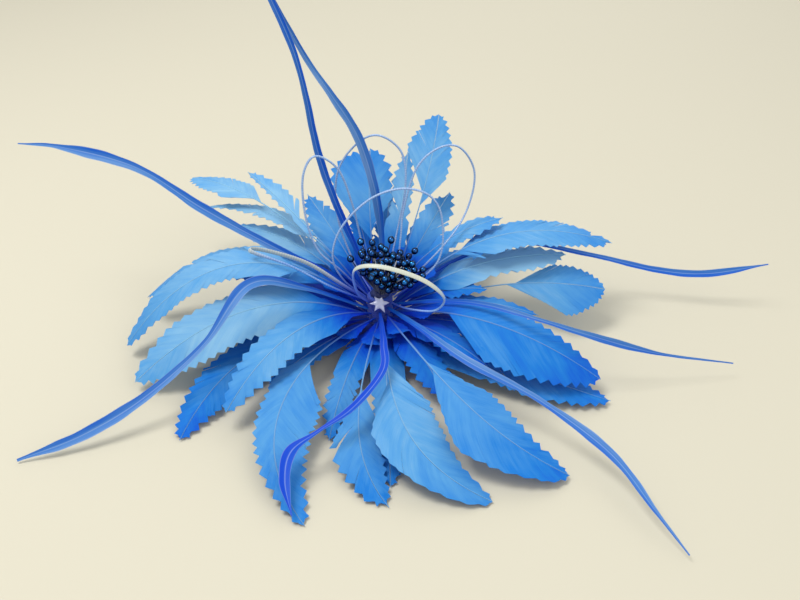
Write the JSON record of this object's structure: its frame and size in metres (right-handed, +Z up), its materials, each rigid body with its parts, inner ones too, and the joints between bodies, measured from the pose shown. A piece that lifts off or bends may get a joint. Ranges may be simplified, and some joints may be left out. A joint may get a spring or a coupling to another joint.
{
  "type": "feather fascinator",
  "caption": "Flower-shaped feather hair ornament with long strips, bent quill loops and beaded stamens, bound on a felt pad over a flat clip, lying face up.",
  "frame": {"origin": "middle of the clip's flat underside, straight below the binding", "axes": "+Z up out of the flower, +X along the clip, -Y towards the side that the flower opens to"},
  "size_m": [0.3653, 0.2273, 0.1861],
  "materials": {
    "feather_blue": "matt dyed feather vane, pale at the quill",
    "strip_blue": "silky dyed strip with lavender lights",
    "quill_white": "satin stripped quill, finely ribbed",
    "pearl_navy": "pearly navy bead on a pale waxed stem",
    "thread_blue": "wound thread",
    "felt_blue": "felt",
    "clip_steel": "plated",
    "clear_glue": "set clear glue"
  },
  "bodies": {
    "root": {"hair_clip": "clip_steel", "felt_pad": "felt_blue", "binding": "thread_blue", "stamens": "pearl_navy", "glue_dab": "clear_glue", "feather_front_1": "feather_blue", "feather_front_2": "feather_blue", "feather_front_3": "feather_blue", "feather_front_4": "feather_blue", "feather_front_5": "feather_blue", "feather_front_6": "feather_blue", "feather_front_7": "feather_blue", "feather_right_1": "feather_blue", "feather_right_2": "feather_blue", "feather_right_3": "feather_blue", "feather_right_4": "feather_blue", "feather_right_5": "feather_blue", "feather_right_6": "feather_blue", "feather_right_7": "feather_blue", "feather_right_8": "feather_blue", "feather_right_9": "feather_blue", "feather_right_10": "feather_blue", "feather_back_1": "feather_blue", "feather_back_2": "feather_blue", "feather_back_3": "feather_blue", "feather_back_4": "feather_blue", "feather_back_5": "feather_blue", "feather_back_6": "feather_blue", "feather_back_7": "feather_blue", "feather_back_8": "feather_blue", "feather_back_9": "feather_blue", "feather_left_1": "feather_blue", "feather_left_2": "feather_blue", "feather_left_3": "feather_blue", "feather_left_4": "feather_blue", "feather_left_5": "feather_blue", "feather_left_6": "feather_blue", "feather_left_7": "feather_blue", "feather_left_8": "feather_blue", "feather_left_9": "feather_blue", "feather_left_10": "feather_blue", "feather_left_11": "feather_blue", "strip_left_up": "strip_blue", "strip_back_1": "strip_blue", "strip_back_2": "strip_blue", "strip_right_up": "strip_blue", "strip_right": "strip_blue", "strip_front_right": "strip_blue", "strip_front": "strip_blue", "strip_left": "strip_blue", "loop_back_1": "quill_white", "loop_back_2": "quill_white", "loop_back_3": "quill_white", "loop_back_4": "quill_white", "loop_front": "quill_white", "loop_left": "quill_white"}
  },
  "joints": []
}
